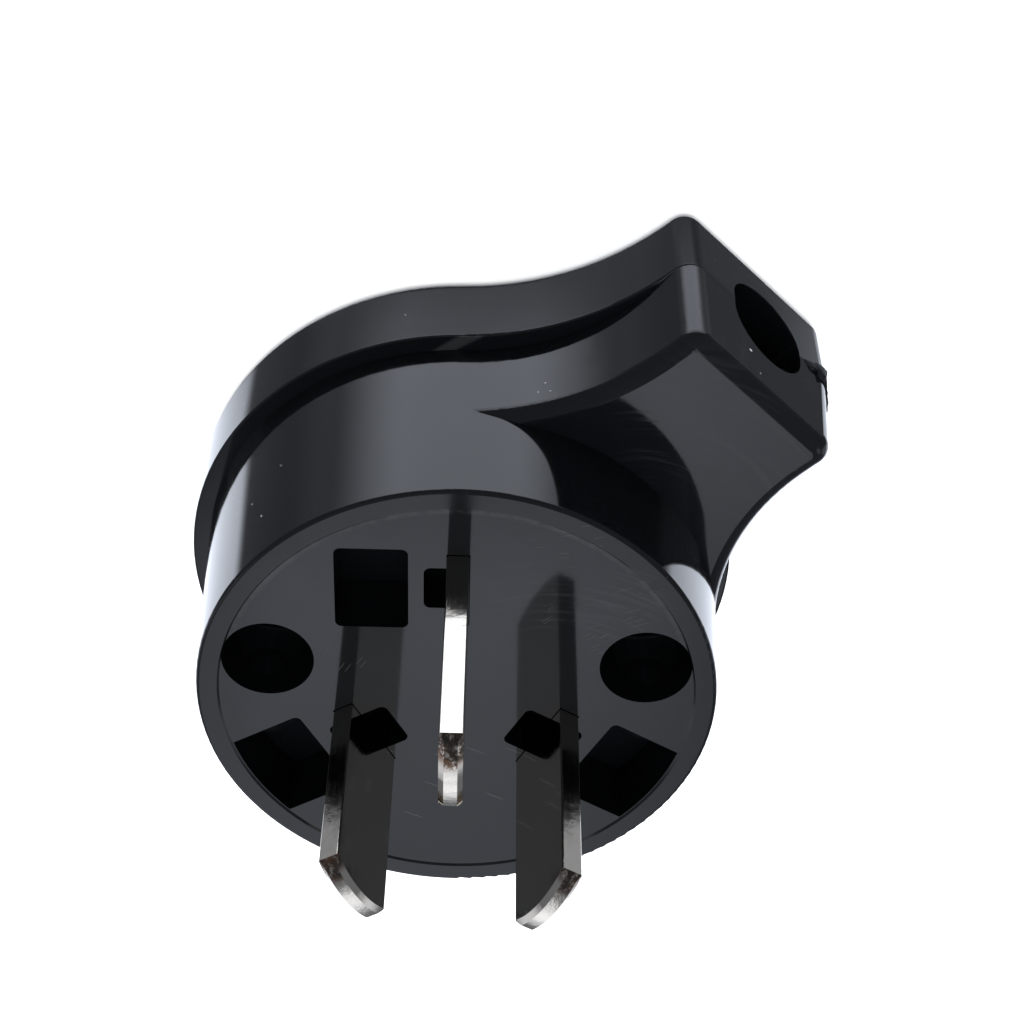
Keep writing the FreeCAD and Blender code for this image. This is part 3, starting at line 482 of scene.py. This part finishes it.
def plain_metal(name, colour, roughness):
    """Turned or stamped metal with fine marks, for the fasteners."""
    material, tree, shader, place = new_material(name)
    marks = noise(tree, place, 1800.0, 3.0)
    stains = noise(tree, place, 300.0, 3.0)
    dull = tuple(channel * 0.6 for channel in colour[:3]) + (1.0,)
    set_inputs(tree, shader, {
        "Base Color": mix_colours(tree, ramp(tree, stains, 0.5, 0.75), colour, dull),
        "Metallic": 1.0,
        "Roughness": ramp(tree, marks, 0.3, 0.7, roughness, roughness + 0.15),
        "Normal": bump(tree, marks, 0.000004),
    })
    return material


def dress(node, material):
    for slot in NODES[node].material_slots:
        slot.material = material


def dress_nodes():
    dress("base_housing", black_plastic("housing_black", HOUSING_DUST, housing_marks, EDGE_CHIPS))
    dress("cover", black_plastic("cover_black", COVER_DUST, cover_marks))
    dress("cord_clamp", black_plastic("clamp_black", COVER_DUST[:1], cover_marks))
    blades = (
        ("active", 120, (0.22, 0.32)),
        ("neutral", 60, (0.24, 0.36)),
        ("earth", 90, (0.10, 0.22)),
    )
    for node, azimuth, rubbed in blades:
        dress(f"{node}_blade", nickel(f"{node}_nickel", azimuth, rubbed))
    steel = plain_metal("zinc_steel", (0.55, 0.56, 0.58, 1.0), 0.28)
    brass = plain_metal("turned_brass", (0.78, 0.56, 0.26, 1.0), 0.25)
    for node in NODES:
        if "screw" in node or "washer" in node:
            dress(node, steel)
        elif "insert" in node:
            dress(node, brass)


# Gate stub

def torn_plastic():
    material, tree, shader, place = new_material("torn_black")
    torn = noise(tree, place, 2400.0, 5.0, 0.7)
    set_inputs(tree, shader, {
        "Base Color": (0.004, 0.0042, 0.0046, 1.0),
        "Roughness": ramp(tree, torn, 0.3, 0.7, 0.3, 0.55),
        "Normal": bump(tree, torn, 0.00012),
    })
    return material


# The stub's outline, across the neck and up
STUB_OUTLINE = [
    (-4.7, 7.5), (-5.1, 7.05), (-5.6, 7.2), (-5.9, 6.5), (-6.3, 6.2), (-6.6, 6.65),
    (-7.1, 6.5), (-7.7, 6.8), (-8.2, 6.95), (-8.6, 7.5), (-8.55, 8.1), (-8.4, 8.6),
    (-8.3, 9.1), (-8.2, 9.6), (-8.05, 9.0), (-7.9, 8.6), (-7.5, 8.3), (-6.9, 7.95),
    (-6.4, 8.1), (-5.9, 7.75), (-5.3, 7.85),
]


def gate_stub():
    """The torn stub of moulding waste at the neck's end, on the parting, with its tail."""
    # Across the neck, its upright corner starts to turn here, and this is its radius
    corner = -6.45
    corner_round = 1.5
    # How far the middle of the stub stands across the neck and before its end face
    middle = -6.8
    proud = 0.28
    chance = random.Random(4)
    corners = []
    for layer in range(3):
        for across, height in STUB_OUTLINE:
            past = min(max(corner - across, 0.0) / corner_round, 1.0)
            drop = corner_round * (1.0 - math.sqrt(1.0 - past * past)) * 0.8
            front = NECK_END + proud - drop
            along = (front, front - 0.25, front - 1.2)[layer]
            jitter = 0.15 if layer < 2 else 0.0
            swell = (0.86, 1.0, 0.9)[layer]
            place = neck_place(
                along + chance.uniform(-jitter, jitter),
                middle + (across - middle) * swell + chance.uniform(-jitter, jitter),
                PARTING + (height - PARTING) * swell + chance.uniform(-jitter, jitter),
            )
            corners.append(place)
    count = len(STUB_OUTLINE)
    faces = [tuple(range(count)), tuple(reversed(range(2 * count, 3 * count)))]
    for layer in range(2):
        for index in range(count):
            following = (index + 1) % count
            start = layer * count
            faces.append((
                start + following,
                start + index,
                start + count + index,
                start + count + following,
            ))
    mesh = bpy.data.meshes.new("gate_stub")
    mesh.from_pydata(corners, [], faces)
    mesh.update()
    made = bpy.data.objects.new("gate_stub", mesh)
    made.data.materials.append(torn_plastic())
    bpy.context.scene.collection.objects.link(made)
    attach(made, "root")


# Stage

def paper():
    material, tree, shader = new_material("white_paper")[:3]
    set_inputs(tree, shader, {
        "Base Color": (0.88, 0.885, 0.89, 1.0),
        "Roughness": 0.7,
        "Specular IOR Level": 0.2,
    })
    return material


def floor():
    """A white floor. The gloss of the plug mirrors the studio's soft light instead of it."""
    half = 1.2
    mesh = bpy.data.meshes.new("floor")
    corners = [(-half, -half, 0), (half, -half, 0), (half, half, 0), (-half, half, 0)]
    mesh.from_pydata(corners, [], [(0, 1, 2, 3)])
    made = bpy.data.objects.new("floor", mesh)
    made.data.materials.append(paper())
    made.visible_glossy = False
    bpy.context.scene.collection.objects.link(made)


def overhead_light():
    """A large soft light for the floor. It adds no hard highlight to the gloss."""
    data = bpy.data.lights.new("overhead", "AREA")
    data.shape = "SQUARE"
    data.size = 3.0
    data.energy = 150.0
    made = bpy.data.objects.new("overhead", data)
    made.location = (0.0, 0.0, 2.0)
    made.visible_glossy = False
    bpy.context.scene.collection.objects.link(made)


# Soft lights round the plug: azimuth and elevation of the middle, half the width and half
# the height of the full light, how far it fades beyond them, all in degrees, and brightness
SOFT_LIGHTS = [
    (92, -41, 23, 9.5, 35, 11.5, 1.74),
    (-85, -36, 68, 16, 8, 8, 1.62),
    (-89, 61, 8.5, 5, 5, 18.5, 0.78),
    (-98, 30, 7.5, 20, 13, 4, 0.55),
    (148, -56, 2, 14, 24, 8, 0.15),
    (-27, 43, 12, 6, 8, 6, 0.50),
    (-153, 43, 12, 6, 8, 6, 0.50),
    (-100, 31, 16, 8, 8, 4, 0.50),
    (25, -45, 12, 6, 12, 6, 0.18),
    (-22, 2, 8, 12, 12, 12, 0.55),
    (-152, 2, 8, 12, 12, 12, 0.55),
]
STUDIO_LEVEL = 0.16
STUDIO_TINT = (0.92, 0.98, 1.10, 1.0)


WHITE_LEVEL = 1.05


def studio():
    """The surroundings: a dim studio with broad soft lights, plain white to the camera."""
    world = bpy.data.worlds.new("studio")
    world.use_nodes = True
    tree = world.node_tree
    tree.nodes.clear()
    toward = add(tree, "ShaderNodeTexCoord").outputs["Generated"]
    rise = maths(tree, "ARCSINE", dot(tree, toward, (0.0, 0.0, 1.0)))
    level = STUDIO_LEVEL
    for azimuth, elevation, wide, high, wide_fade, high_fade, strength in SOFT_LIGHTS:
        ahead, beside = straight_axes(tree, toward, azimuth)
        turn = maths(tree, "ARCTAN2", beside, ahead)
        lift = maths(tree, "SUBTRACT", rise, math.radians(elevation))
        light = product(
            tree,
            fade(tree, turn, math.radians(wide), math.radians(wide_fade)),
            fade(tree, lift, math.radians(high), math.radians(high_fade)),
            strength,
        )
        level = maths(tree, "ADD", level, light)

    soft = add(tree, "ShaderNodeBackground", {"Color": STUDIO_TINT, "Strength": level})
    white = {"Color": (1.0, 1.0, 1.0, 1.0), "Strength": WHITE_LEVEL}
    plain = add(tree, "ShaderNodeBackground", white)
    seen = add(tree, "ShaderNodeLightPath").outputs["Is Camera Ray"]
    inputs = {0: seen, 1: soft.outputs[0], 2: plain.outputs[0]}
    both = add(tree, "ShaderNodeMixShader", inputs)
    add(tree, "ShaderNodeOutputWorld", {"Surface": both.outputs[0]})
    bpy.context.scene.world = world


def camera():
    """The camera of the photo, from the fit to the pins and the rim."""
    data = bpy.data.cameras.new("camera")
    data.sensor_width = 36.0
    data.lens = 78.66
    data.clip_start = 0.005
    made = bpy.data.objects.new("camera", data)
    place = Vector((2.021, 111.856, 146.982)) * MM
    right = Vector((0.99964, 0.02605, -0.00663))
    up = Vector((-0.02471, 0.79328, -0.60836))
    away = Vector((-0.01059, 0.6083, 0.79364))
    turn = Matrix((right, up, away)).transposed()
    made.matrix_world = Matrix.Translation(place) @ turn.to_4x4()
    bpy.context.scene.collection.objects.link(made)
    bpy.context.scene.camera = made


def colour_management():
    settings = bpy.context.scene.view_settings
    settings.view_transform = "Standard"
    settings.look = "None"


camera()
colour_management()
studio()
overhead_light()
floor()
dress_nodes()
gate_stub()
